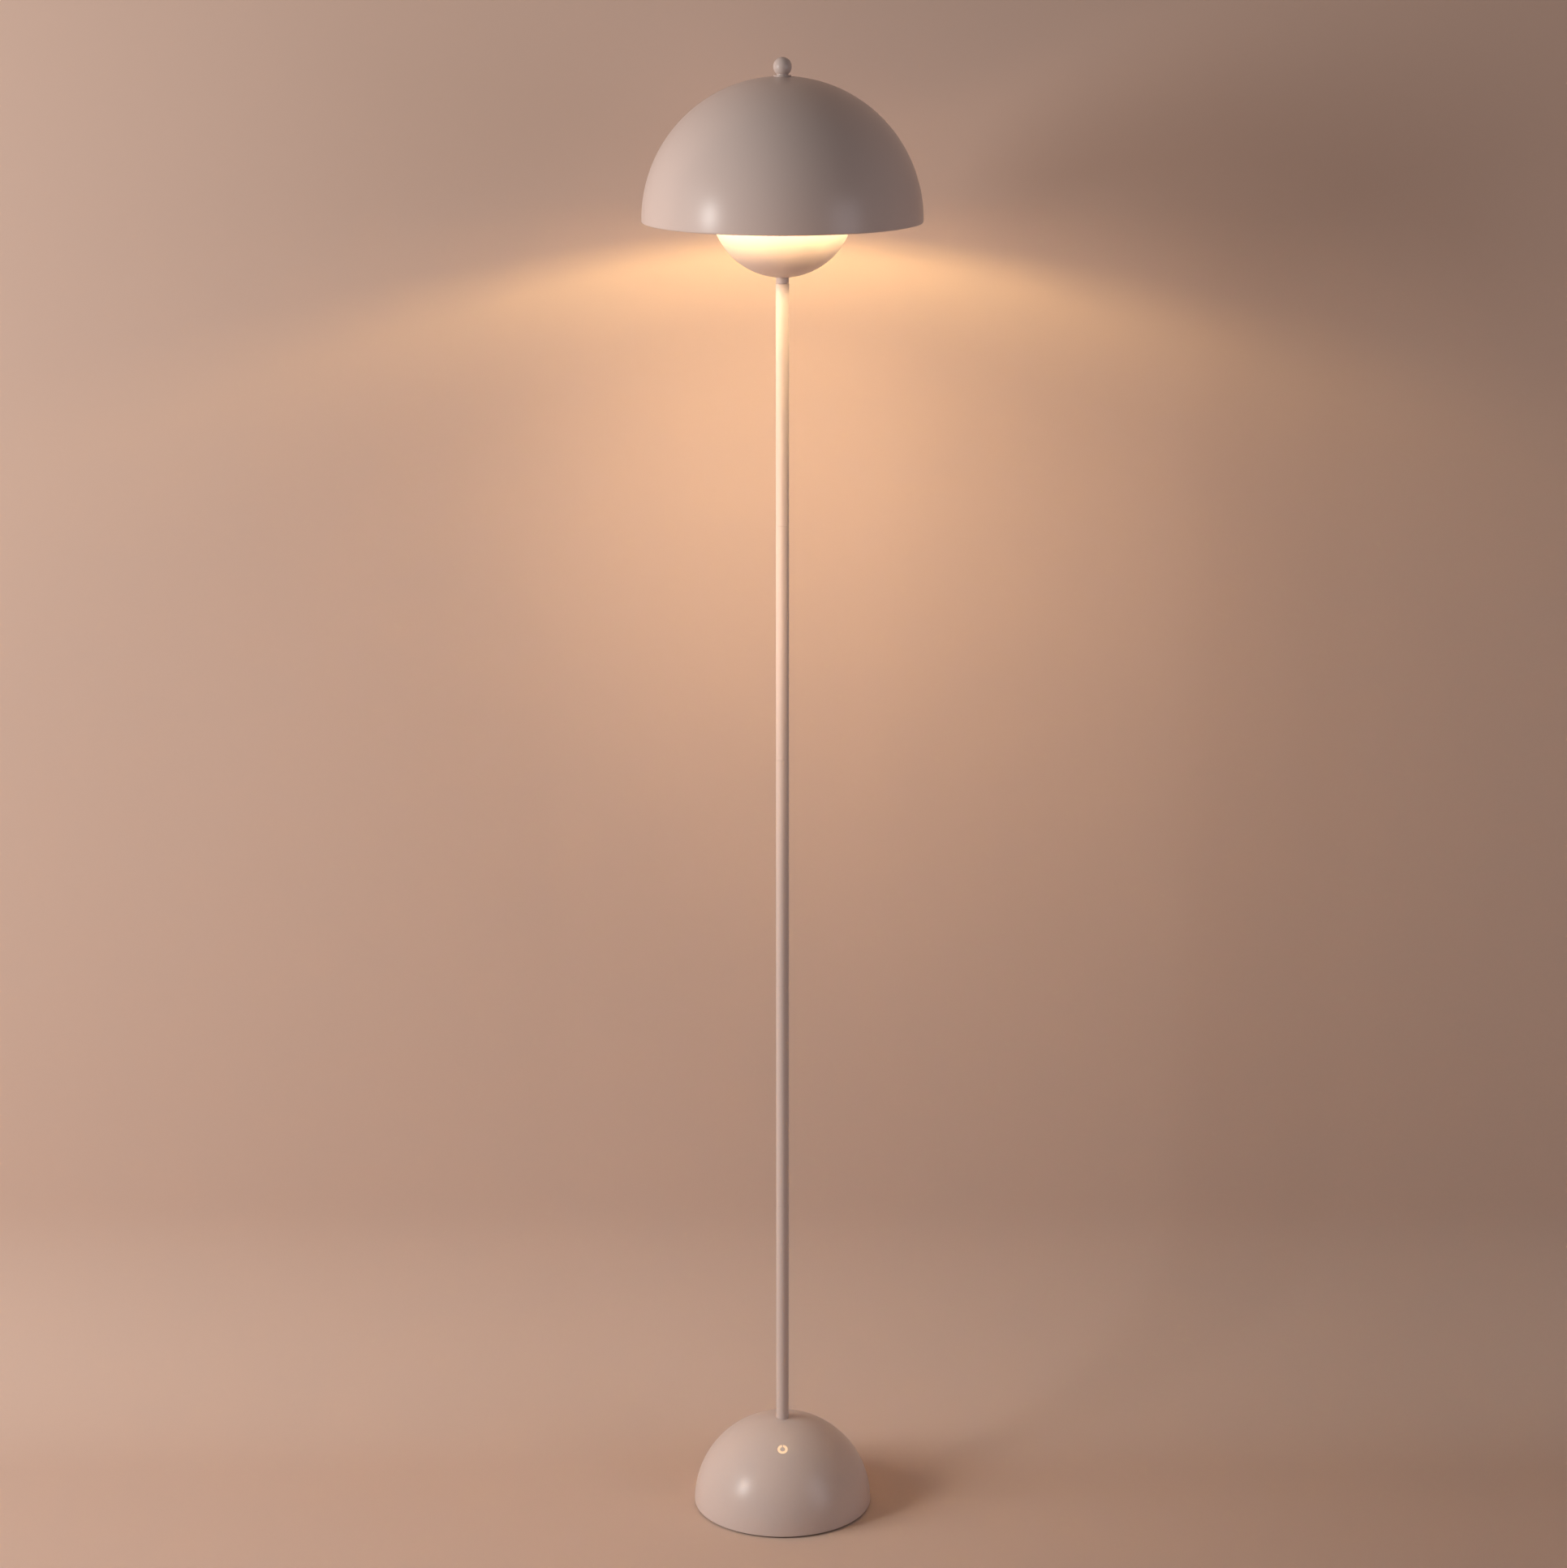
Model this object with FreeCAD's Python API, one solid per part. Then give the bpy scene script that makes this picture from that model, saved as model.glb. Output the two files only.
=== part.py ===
import FreeCAD, Part
import math
import os

# A cordless mushroom floor lamp: a half-round base with a lit push button, a pole of five
# screwed tubes, an open bowl that holds the light, a half-round shade above it and a ball on top.
# Millimetres. +Z is up, the origin is on the floor under the middle of the base, and -Y is the
# front, where the button is. Every size below can be changed by itself.

# --- Driving sizes: base ---
base_radius = 85.0
base_wall = 1.2
pad_thickness = 1.5
pad_inset = 2.5
pad_width = 7.5
plate_thickness = 2.0
weight_gap = 3.8
weight_thickness = 24.0
weight_bore = 8.0
weight_chamfer = 2.0
tab_reach = 18.0
tab_width = 14.0
tab_height = 7.0
tab_screw_offset = 4.5
weight_screw_circle = 40.0
tab_count = 3
tab_turn = 30.0
bottom_screw_radius = 2.0
bottom_screw_length = 8.0
key_across_flats = 2.5
key_depth = 1.3
weight_screw_count = 3
weight_screw_turn = 90.0

# --- Driving sizes: battery, board and charging socket ---
cell_radius = 9.2
cell_length = 65.2
cell_spacing = 40.0
cell_pole_radius = 3.0
cell_pole_height = 0.8
tray_wall = 1.6
tray_depth = 11.0
board_width = 40.0
board_thickness = 1.6
board_start = 38.0
standoff_radius = 2.0
standoff_height = 5.0
standoff_edge = 4.0
standoff_margin = 0.5
socket_width = 8.94
socket_height = 3.2
socket_length = 7.3
socket_wall = 0.3
socket_depth = 6.2
socket_setback = 2.0
socket_overhang = 1.0
tongue_width = 6.7
tongue_length = 4.6
tongue_thickness = 0.7
port_width = 13.4
port_height = 7.4
connector_width = 7.5
connector_length = 6.0
connector_height = 6.0
chip_width = 7.0
chip_height = 1.2
part_spacing = 4.5
coil_radius = 4.0
coil_height = 4.5

# --- Driving sizes: push button ---
button_elevation = 57.8
cap_radius = 6.0
cap_flange_radius = 7.4
cap_flange_thickness = 1.2
cap_lift_gap = 0.25
button_gap = 0.12
button_travel = 0.5
ring_outer_radius = 4.8
ring_inner_radius = 2.5
ring_gap = 1.1
stem_radius = 1.5
stem_length = 1.4
guide_wall = 2.6
guide_screw_radius = 0.8
guide_screw_length = 5.0
guide_screw_head_radius = 1.2
guide_screw_head_height = 0.8
switch_width = 6.2
switch_height = 3.4
plunger_radius = 1.7
plunger_height = 1.0
plunger_seat = 1.4
switch_board_thickness = 1.2
ring_led_size = 1.6
ring_led_height = 0.8
ring_led_circle = 5.6
ring_led_count = 4
ring_led_turn = 45.0

# --- Driving sizes: pole and its threaded joints ---
pole_radius = 6.0
pole_wall = 1.0
section_length = 218.0
section_count = 5
seam_chamfer = 0.25
thread_engagement = 15.0
nipple_bore = 3.2
base_nipple_drop = 18.0
nut_across_flats = 14.0
nut_thickness = 4.0
washer_radius = 7.8
washer_thickness = 1.0
seat_radius = 8.0
lead_radius = 1.5
lead_height = 55.0
lead_bend = 11.0
lead_exit_bend = 4.5
switch_lead_radius = 1.0
switch_lead_drop = 14.0
switch_lead_bend = 7.0
plug_spacing = 13.0
plug_row = 9.0

# --- Driving sizes: bowl and light ---
collar_radius = 5.7
collar_length = 5.8
collar_chamfer = 0.4
bowl_radius = 64.0
bowl_wall = 1.0
nipple_above_nut = 10.0
led_depth = 22.0
led_plate_thickness = 2.0
led_board_radius = 42.0
led_board_bore = 12.0
led_board_thickness = 1.6
led_count = 24
led_circle = 30.0
led_width = 2.8
led_length = 3.5
led_height = 0.8
bowl_tab_reach = 12.0
bowl_tab_width = 8.0
bowl_tab_height = 4.0
bowl_tab_screw_offset = 6.0
bowl_tab_count = 3
led_screw_radius = 1.5
led_screw_length = 5.5
led_screw_head_radius = 2.8
led_screw_head_height = 1.8
diffuser_thickness = 2.4
diffuser_recess = 6.0
lead_exit_height = 18.0
lead_exit_radius = 2.4

# --- Driving sizes: shade and finial ---
centre_tube_length = 167.0
support_thickness = 1.2
shade_radius = 125.0
shade_wall = 1.0
shade_skirt = 1.8
shade_hem = 4.0
stud_radius = 2.95
stud_grip = 8.0
finial_washer_radius = 7.8
finial_washer_thickness = 1.2
finial_radius = 8.2
finial_neck_radius = 5.25
finial_rise = 7.4

# --- Fits: the gap on each side between pieces that go together ---
thread_fit = 0.05
bolt_clearance = 0.2
plate_gap = 0.4
loose_fit = 0.1
cell_fit = 0.3
running_fit = 0.05
face_gap = 0.1
stud_end_gap = 1.2
beyond = 1.0


def height_at(radius, across):
    """Height above a sphere's centre of the circle of radius `across` on that sphere."""
    return math.sqrt(radius ** 2 - across ** 2)


# --- Levels and radii that follow from the sizes ---
thread_radius = pole_radius - pole_wall - thread_fit
thread_hole = thread_radius + thread_fit
bolt_hole = thread_radius + bolt_clearance
stud_hole = stud_radius + bolt_clearance
base_inner = base_radius - base_wall
bowl_inner = bowl_radius - bowl_wall
base_centre = pad_thickness
plate_top = pad_thickness + plate_thickness
tab_start = height_at(base_inner, plate_top - base_centre) - tab_reach
weight_radius = tab_start - weight_gap
weight_top = plate_top + weight_thickness
board_bottom = weight_top + standoff_height
board_top = board_bottom + board_thickness
socket_level = board_top + socket_height / 2
socket_mouth = height_at(base_inner, socket_level - base_centre) - socket_setback
base_seat = base_centre + height_at(base_radius, seat_radius)
pole_top = base_seat + section_count * section_length
bowl_seat = pole_top + collar_length
bowl_centre = bowl_seat + height_at(bowl_radius, seat_radius)
bowl_nut_top = bowl_seat + bowl_wall + washer_thickness + nut_thickness
led_plate_bottom = bowl_centre - led_depth
led_plate_top = led_plate_bottom + led_plate_thickness
bowl_tab_bottom = led_plate_bottom - bowl_tab_height
bowl_tab_start = height_at(bowl_inner, bowl_centre - bowl_tab_bottom) - bowl_tab_reach
lead_exit = bowl_nut_top + lead_exit_height
lead_offset = led_board_bore - lead_radius
tube_top = bowl_nut_top + centre_tube_length
shade_underside = tube_top + support_thickness
shade_centre = shade_underside + shade_wall - height_at(shade_radius, seat_radius)
finial_seat = shade_underside + shade_wall + finial_washer_thickness
finial_centre = finial_seat + finial_rise
axis_z = FreeCAD.Vector(0, 0, 1)
middle = FreeCAD.Vector(0, 0, 0)


# --- Shapes used by several pieces ---
def at(radius, height):
    """A point of a turned profile, in the XZ plane."""
    return FreeCAD.Vector(radius, 0, height)


def turned(edges):
    """A solid turned about Z from the closed profile that the edges make."""
    return Part.Face(Part.Wire(edges)).revolve(middle, axis_z, 360)


def turned_outline(points):
    """A solid turned about Z from a profile of straight lines."""
    closed = [at(*point) for point in points + points[:1]]
    return Part.Face(Part.makePolygon(closed)).revolve(middle, axis_z, 360)


def line(start, end):
    return Part.LineSegment(start, end).toShape()


def arc(start, through, end):
    return Part.Arc(start, through, end).toShape()


def rod(radius, bottom, length):
    return Part.makeCylinder(radius, length, FreeCAD.Vector(0, 0, bottom))


def ring(outer, inner, bottom, length):
    return rod(outer, bottom, length).cut(rod(inner, bottom, length))


def chamfered_tube(outer, inner, bottom, length, chamfer):
    """A tube whose outer end edges are broken by a small chamfer."""
    top = bottom + length
    return turned_outline([
        (inner, bottom),
        (outer - chamfer, bottom),
        (outer, bottom + chamfer),
        (outer, top - chamfer),
        (outer - chamfer, top),
        (inner, top),
    ])


def block(width, depth, height, x, y, bottom):
    """A box centred on x and y."""
    corner = FreeCAD.Vector(x - width / 2, y - depth / 2, bottom)
    return Part.makeBox(width, depth, height, corner)


def hexagon(across_flats, bottom, height):
    """An upright hexagonal prism about Z."""
    corner = across_flats / math.sqrt(3)
    points = []
    for side in range(7):
        angle = math.radians(60 * side)
        points.append(FreeCAD.Vector(corner * math.cos(angle), corner * math.sin(angle), bottom))
    return Part.Face(Part.makePolygon(points)).extrude(FreeCAD.Vector(0, 0, height))


def hexagon_nut(bottom):
    nut = hexagon(nut_across_flats, bottom, nut_thickness)
    return nut.cut(rod(thread_hole, bottom, nut_thickness))


def around(shape, count, start=0.0):
    """Copies of a shape spread evenly about Z, the first one turned by `start` degrees."""
    copies = []
    for index in range(count):
        copy = shape.copy()
        copy.rotate(middle, axis_z, start + 360.0 * index / count)
        copies.append(copy)
    return copies


def moved(shape, x, y, z):
    copy = shape.copy()
    copy.translate(FreeCAD.Vector(x, y, z))
    return copy


def racetrack(width, height, start, length, level):
    """A bar along +Y with round ends in X, from y = start, centred on height `level`."""
    end_radius = height / 2
    flat = width / 2 - end_radius
    outline = [
        line(FreeCAD.Vector(-flat, start, level - end_radius),
             FreeCAD.Vector(flat, start, level - end_radius)),
        arc(FreeCAD.Vector(flat, start, level - end_radius),
            FreeCAD.Vector(width / 2, start, level),
            FreeCAD.Vector(flat, start, level + end_radius)),
        line(FreeCAD.Vector(flat, start, level + end_radius),
             FreeCAD.Vector(-flat, start, level + end_radius)),
        arc(FreeCAD.Vector(-flat, start, level + end_radius),
            FreeCAD.Vector(-width / 2, start, level),
            FreeCAD.Vector(-flat, start, level - end_radius)),
    ]
    return Part.Face(Part.Wire(outline)).extrude(FreeCAD.Vector(0, length, 0))


def spun_shell(radius, wall, skirt, hem, hole):
    """A half-round shell spun from sheet, open side down, with its sphere's centre at z = 0.

    The top has a small flat seat with a hole. The skirt runs straight down below the centre.
    A hem folds the sheet back inside the rim, up to the height `hem`. The rim is rounded.
    """
    inner = radius - wall
    rim = -skirt
    seat = height_at(radius, seat_radius)
    seat_inner = height_at(inner, seat - wall)
    thickness = 2 * wall if hem else wall
    shoulder = rim + thickness / 2
    sphere_start = max(shoulder, 0.0)
    outer_start = height_at(radius, sphere_start)
    rim_inner = outer_start - thickness if hem else height_at(inner, sphere_start)
    inner_end = hem if hem else sphere_start
    lean = math.radians(45)
    edges = [
        arc(at(rim_inner, shoulder), at((rim_inner + outer_start) / 2, rim), at(outer_start, shoulder)),
        arc(at(outer_start, sphere_start), at(radius * math.cos(lean), radius * math.sin(lean)),
            at(seat_radius, seat)),
        line(at(seat_radius, seat), at(hole, seat)),
        line(at(hole, seat), at(hole, seat - wall)),
        line(at(hole, seat - wall), at(seat_inner, seat - wall)),
        arc(at(seat_inner, seat - wall), at(inner * math.cos(lean), inner * math.sin(lean)),
            at(height_at(inner, inner_end), inner_end)),
    ]
    if shoulder < sphere_start:
        edges.append(line(at(outer_start, shoulder), at(outer_start, sphere_start)))
    if hem:
        edges.append(line(at(height_at(inner, hem), hem), at(rim_inner, hem)))
        edges.append(line(at(rim_inner, hem), at(rim_inner, shoulder)))
    elif shoulder < sphere_start:
        edges.append(line(at(rim_inner, shoulder), at(rim_inner, sphere_start)))
    return turned(Part.__sortEdges__(edges))


def welded_tab(inner_radius, centre, start, width, height, bottom, screw_circle, screw_hole):
    """A threaded block from the radius `start` out to the inside of a half-round shell."""
    bar = Part.makeBox(inner_radius, width, height, FreeCAD.Vector(start, -width / 2, bottom))
    bar = bar.common(Part.makeSphere(inner_radius, FreeCAD.Vector(0, 0, centre)))
    return bar.cut(moved(rod(screw_hole, bottom, height), screw_circle, 0, 0))


def countersunk_screw(radius, length, bottom):
    """A countersunk screw, head down and flush with `bottom`, with a hexagon key recess."""
    screw = turned_outline([
        (0, bottom),
        (2 * radius, bottom),
        (radius, bottom + radius),
        (radius, bottom + length),
        (0, bottom + length),
    ])
    return screw.cut(hexagon(key_across_flats, bottom, key_depth))


def countersunk_hole(radius, length, bottom):
    """The space that a countersunk screw needs, with a small gap all round."""
    wide = 2 * radius + loose_fit
    narrow = radius + loose_fit
    return turned_outline([
        (0, bottom),
        (wide, bottom),
        (narrow, bottom + radius),
        (narrow, bottom + length),
        (0, bottom + length),
    ])


def routed_lead(points, bends, radius):
    """A round cable along straight runs joined by tangent arcs, one bend radius per corner."""
    edges = []
    here = points[0]
    for corner, after, bend in zip(points[1:-1], points[2:], bends):
        arriving = (corner - here).normalize()
        leaving = (after - corner).normalize()
        turn = arriving.getAngle(leaving)
        setback = bend * math.tan(turn / 2)
        start = corner - arriving * setback
        end = corner + leaving * setback
        inward = (leaving - arriving).normalize()
        through = corner + inward * (bend / math.cos(turn / 2) - bend)
        edges.append(line(here, start))
        edges.append(arc(start, through, end))
        here = end
    edges.append(line(here, points[-1]))
    first = (points[1] - points[0]).normalize()
    circle = Part.Wire(Part.Circle(points[0], first, radius).toShape())
    return Part.Wire(edges).makePipeShell([circle], True, False)


# --- Button axis: pieces made upright about Z are tilted onto the dome's normal ---
def on_button_axis(shape):
    tilt = FreeCAD.Rotation(FreeCAD.Vector(1, 0, 0), 90.0 - button_elevation)
    place = FreeCAD.Placement(FreeCAD.Vector(0, 0, base_centre), tilt)
    return shape.transformed(place.toMatrix())


flange_top = height_at(base_inner, cap_flange_radius) - cap_lift_gap
flange_bottom = flange_top - cap_flange_thickness
stem_end = flange_bottom - stem_length
switch_top = stem_end - plunger_height
switch_bottom = switch_top - switch_height
guide_bore = cap_flange_radius + running_fit
guide_radius = guide_bore + guide_wall
switch_board_bottom = switch_bottom - switch_board_thickness
guide_screw_circle = guide_bore + guide_wall / 2


def light_ring_prism():
    """The open ring of the button's symbol, as a tall prism: a ring with one gap at the top."""
    tall = base_radius - flange_bottom + beyond
    full = ring(ring_outer_radius, ring_inner_radius, flange_bottom, tall)
    gap = block(ring_gap, ring_outer_radius, tall, 0, ring_outer_radius / 2 + ring_inner_radius / 2,
                flange_bottom)
    return full.cut(gap)


def button_pieces():
    """The lit push button: cap, light ring, guide sleeve and switch, all on one tilted axis."""
    dome = Part.makeSphere(base_radius)
    cap = rod(cap_radius, flange_bottom, base_radius)
    cap = cap.fuse(rod(cap_flange_radius, flange_bottom, cap_flange_thickness)).common(dome)
    cap = cap.cut(light_ring_prism())
    cap = cap.fuse(rod(stem_radius, stem_end, stem_length)).removeSplitter()
    light_ring = light_ring_prism().common(dome)
    plunger = rod(plunger_radius, switch_top - plunger_seat, plunger_height + plunger_seat)
    body = block(switch_width, switch_width, switch_height, 0, 0, switch_bottom)
    well_depth = plunger_seat + button_travel + face_gap * 2
    body = body.cut(rod(plunger_radius + running_fit, switch_top - well_depth, well_depth))
    sleeve = ring(guide_radius, guide_bore, switch_bottom, base_radius - switch_bottom)
    sleeve = sleeve.common(Part.makeSphere(base_inner))
    board = rod(guide_radius, switch_board_bottom, switch_board_thickness)
    screws = []
    for side in (-1, 1):
        x = side * guide_screw_circle
        shank = moved(rod(guide_screw_radius, switch_board_bottom, guide_screw_length), x, 0, 0)
        board = board.cut(shank)
        sleeve = sleeve.cut(shank)
        head = rod(guide_screw_head_radius, switch_board_bottom - guide_screw_head_height,
                   guide_screw_head_height)
        screws.append(shank.fuse(moved(head, x, 0, 0)))
    lamp = block(ring_led_size, ring_led_size, ring_led_height, ring_led_circle, 0, switch_bottom)
    pieces = {
        "button_cap": cap,
        "button_light_ring": light_ring,
        "switch_plunger": plunger,
        "switch_body": body,
        "button_guide": sleeve,
        "switch_board": board,
        "switch_screws": Part.makeCompound(screws),
        "button_leds": Part.makeCompound(around(lamp, ring_led_count, ring_led_turn)),
    }
    return {name: on_button_axis(shape) for name, shape in pieces.items()}


# --- Base: dome, weight and bottom plate ---
def base_pieces():
    tab_screw_circle = tab_start + tab_screw_offset
    tab = welded_tab(
        base_inner, base_centre, tab_start, tab_width, tab_height, plate_top,
        tab_screw_circle, bottom_screw_radius)
    shell = moved(spun_shell(base_radius, base_wall, 0.0, 0.0, bolt_hole), 0, 0, base_centre)
    shell = shell.cut(on_button_axis(rod(cap_radius + button_gap, flange_bottom, base_radius)))
    shell = shell.cut(racetrack(port_width, port_height, socket_mouth, base_radius, socket_level))

    screw = countersunk_screw(bottom_screw_radius, bottom_screw_length, pad_thickness)
    screw_hole = countersunk_hole(bottom_screw_radius, plate_thickness, pad_thickness)
    places = (
        (tab_screw_circle, tab_count, tab_turn),
        (weight_screw_circle, weight_screw_count, weight_screw_turn),
    )
    screws = []
    plate = rod(base_inner - plate_gap, pad_thickness, plate_thickness)
    for circle, count, turn in places:
        screws.append(around(moved(screw, circle, 0, 0), count, turn))
        for hole in around(moved(screw_hole, circle, 0, 0), count, turn):
            plate = plate.cut(hole)

    weight = turned_outline([
        (weight_bore, plate_top),
        (weight_radius, plate_top),
        (weight_radius, weight_top - weight_chamfer),
        (weight_radius - weight_chamfer, weight_top),
        (weight_bore, weight_top),
    ])
    tapped_depth = bottom_screw_length - plate_thickness
    tapped = moved(rod(bottom_screw_radius, plate_top, tapped_depth), weight_screw_circle, 0, 0)
    for hole in around(tapped, weight_screw_count, weight_screw_turn):
        weight = weight.cut(hole)

    pad_radius = base_radius - pad_inset
    washer_bottom = base_seat - base_wall - washer_thickness
    return {
        "foot_pad": ring(pad_radius, pad_radius - pad_width, 0.0, pad_thickness),
        "bottom_plate": plate,
        "tab_screws": Part.makeCompound(screws[0]),
        "weight_screws": Part.makeCompound(screws[1]),
        "base_weight": weight,
        "base_shell": shell,
        "shell_tabs": Part.makeCompound(around(tab, tab_count, tab_turn)),
        "base_washer": ring(washer_radius, bolt_hole, washer_bottom, washer_thickness),
        "base_locknut": hexagon_nut(washer_bottom - nut_thickness),
    }


# --- Battery, control board and charging socket, on top of the weight ---
def battery_pieces():
    cell_level = weight_top + tray_wall + cell_radius
    pocket_level = cell_level + cell_fit
    length = cell_length + 2 * cell_fit
    pocket_radius = cell_radius + cell_fit
    tray_width = cell_spacing + 2 * (pocket_radius + tray_wall)
    tray = block(tray_width, length + 2 * tray_wall, tray_depth, 0, 0, weight_top)
    lane = cell_spacing - 2 * (pocket_radius + tray_wall)
    tray = tray.cut(block(lane, length, tray_depth, 0, 0, weight_top + tray_wall))
    cells = []
    along_y = FreeCAD.Vector(0, 1, 0)
    for side in (-1, 1):
        x = side * cell_spacing / 2
        pocket_start = FreeCAD.Vector(x, -length / 2, pocket_level)
        pocket = Part.makeCylinder(pocket_radius, length, pocket_start, along_y)
        tray = tray.cut(pocket)
        tray = tray.cut(block(2 * pocket_radius, length, tray_depth, x, 0, pocket_level))
        start = FreeCAD.Vector(x, -cell_length / 2, cell_level)
        can = Part.makeCylinder(cell_radius, cell_length - cell_pole_height, start, along_y)
        cap_start = start + along_y * (cell_length - cell_pole_height)
        cells.append(can.fuse(Part.makeCylinder(cell_pole_radius, cell_pole_height, cap_start, along_y)))
    return {"battery_tray": tray, "battery_cells": Part.makeCompound(cells)}


def board_pieces():
    board_end = socket_mouth - socket_overhang
    depth = board_end - board_start
    board = block(board_width, depth, board_thickness, 0, board_start + depth / 2, board_bottom)
    pillars = []
    pillar = rod(standoff_radius, weight_top, standoff_height)
    pillar_x = board_width / 2 - standoff_edge
    reach = weight_radius - weight_chamfer - standoff_margin - standoff_radius
    for x in (-pillar_x, pillar_x):
        for y in (board_start + standoff_edge, height_at(reach, pillar_x)):
            pillars.append(moved(pillar, x, y, 0))

    plug_y = board_start + plug_row
    parts = []
    for x in (-plug_spacing, 0, plug_spacing):
        parts.append(block(connector_width, connector_length, connector_height, x, plug_y, board_top))
    plug_back = plug_y + connector_length / 2
    chip_y = plug_back + part_spacing + chip_width / 2
    parts.append(block(chip_width, chip_width, chip_height, plug_spacing, chip_y, board_top))
    coil_y = plug_back + part_spacing + coil_radius
    parts.append(moved(rod(coil_radius, board_top, coil_height), -plug_spacing, coil_y, 0))

    socket_start = socket_mouth - socket_length
    socket = racetrack(socket_width, socket_height, socket_start, socket_length, socket_level)
    cavity = racetrack(socket_width - 2 * socket_wall, socket_height - 2 * socket_wall,
                       socket_mouth - socket_depth, socket_depth, socket_level)
    tongue = block(tongue_width, tongue_length, tongue_thickness, 0,
                   socket_mouth - socket_depth + tongue_length / 2, socket_level - tongue_thickness / 2)
    return {
        "control_board": board,
        "board_standoffs": Part.makeCompound(pillars),
        "board_parts": Part.makeCompound(parts),
        "charge_socket": socket.cut(cavity).fuse(tongue),
    }


# --- Pole: equal tubes butted end to end over hollow threaded studs ---
def pole_pieces():
    pieces = {}
    bore = pole_radius - pole_wall
    for index in range(section_count):
        bottom = base_seat + index * section_length
        tube = chamfered_tube(pole_radius, bore, bottom, section_length, seam_chamfer)
        pieces["pole_section_%d" % (index + 1)] = tube
    for index in range(1, section_count):
        seam = base_seat + index * section_length
        stud = ring(thread_radius, nipple_bore, seam - thread_engagement, 2 * thread_engagement)
        pieces["pole_coupler_%d" % index] = stud
    pieces["base_nipple"] = ring(thread_radius, nipple_bore, base_seat - base_nipple_drop,
                                 base_nipple_drop + thread_engagement)
    return pieces


# --- Bowl: neck collar, spun bowl, light plate and diffuser ---
def bowl_pieces():
    bowl = spun_shell(bowl_radius, bowl_wall, 0.0, 0.0, bolt_hole)
    bowl.rotate(middle, FreeCAD.Vector(1, 0, 0), 180)
    bowl.translate(FreeCAD.Vector(0, 0, bowl_centre))
    washer_bottom = bowl_seat + bowl_wall
    nipple_bottom = pole_top - thread_engagement
    nipple_top = bowl_nut_top + nipple_above_nut

    screw_circle = bowl_tab_start + bowl_tab_screw_offset
    tab = welded_tab(
        bowl_inner, bowl_centre, bowl_tab_start, bowl_tab_width, bowl_tab_height, bowl_tab_bottom,
        screw_circle, led_screw_radius)
    plate = rod(height_at(bowl_inner, led_depth) - loose_fit, led_plate_bottom, led_plate_thickness)
    plate = plate.cut(rod(pole_radius + loose_fit, led_plate_bottom, led_plate_thickness))
    lead_hole = rod(lead_exit_radius, led_plate_bottom, led_plate_thickness)
    plate = plate.cut(moved(lead_hole, lead_offset, 0, 0))
    screw_hole = moved(rod(led_screw_radius, led_plate_bottom, led_plate_thickness), screw_circle, 0, 0)
    for hole in around(screw_hole, bowl_tab_count, tab_turn):
        plate = plate.cut(hole)
    screw = rod(led_screw_radius, led_plate_top - led_screw_length, led_screw_length)
    screw = screw.fuse(rod(led_screw_head_radius, led_plate_top, led_screw_head_height))
    screws = around(moved(screw, screw_circle, 0, 0), bowl_tab_count, tab_turn)

    chip_bottom = led_plate_top + led_board_thickness
    chip = block(led_length, led_width, led_height, led_circle, 0, chip_bottom)
    # The diffuser drops in until its lower edge seats all round on the curve of the bowl.
    diffuser_depth = diffuser_recess + diffuser_thickness
    diffuser_radius = height_at(bowl_inner, diffuser_depth)
    return {
        "neck_collar": chamfered_tube(collar_radius, thread_hole, pole_top, collar_length, collar_chamfer),
        "head_nipple": ring(thread_radius, nipple_bore, nipple_bottom, nipple_top - nipple_bottom),
        "bowl": bowl,
        "bowl_washer": ring(washer_radius, bolt_hole, washer_bottom, washer_thickness),
        "bowl_nut": hexagon_nut(washer_bottom + washer_thickness),
        "bowl_tabs": Part.makeCompound(around(tab, bowl_tab_count, tab_turn)),
        "led_plate": plate,
        "led_plate_screws": Part.makeCompound(screws),
        "led_board": ring(led_board_radius, led_board_bore, led_plate_top, led_board_thickness),
        "led_chips": Part.makeCompound(around(chip, led_count)),
        "diffuser": ring(diffuser_radius, pole_radius + loose_fit, bowl_centre - diffuser_depth,
                         diffuser_thickness),
    }


# --- Shade: centre tube, spun shade and the ball that clamps it ---
def finial_ball():
    """A turned ball on a short neck, with a blind threaded socket for the stud."""
    bottom = finial_seat + face_gap
    socket_radius = stud_radius + thread_fit
    socket_top = finial_seat + stud_grip + stud_end_gap
    join = finial_centre - height_at(finial_radius, finial_neck_radius)
    top = finial_centre + finial_radius
    return turned([
        line(at(socket_radius, bottom), at(finial_neck_radius, bottom)),
        line(at(finial_neck_radius, bottom), at(finial_neck_radius, join)),
        arc(at(finial_neck_radius, join), at(finial_radius, finial_centre), at(0, top)),
        line(at(0, top), at(0, socket_top)),
        line(at(0, socket_top), at(socket_radius, socket_top)),
        line(at(socket_radius, socket_top), at(socket_radius, bottom)),
    ])


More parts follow.
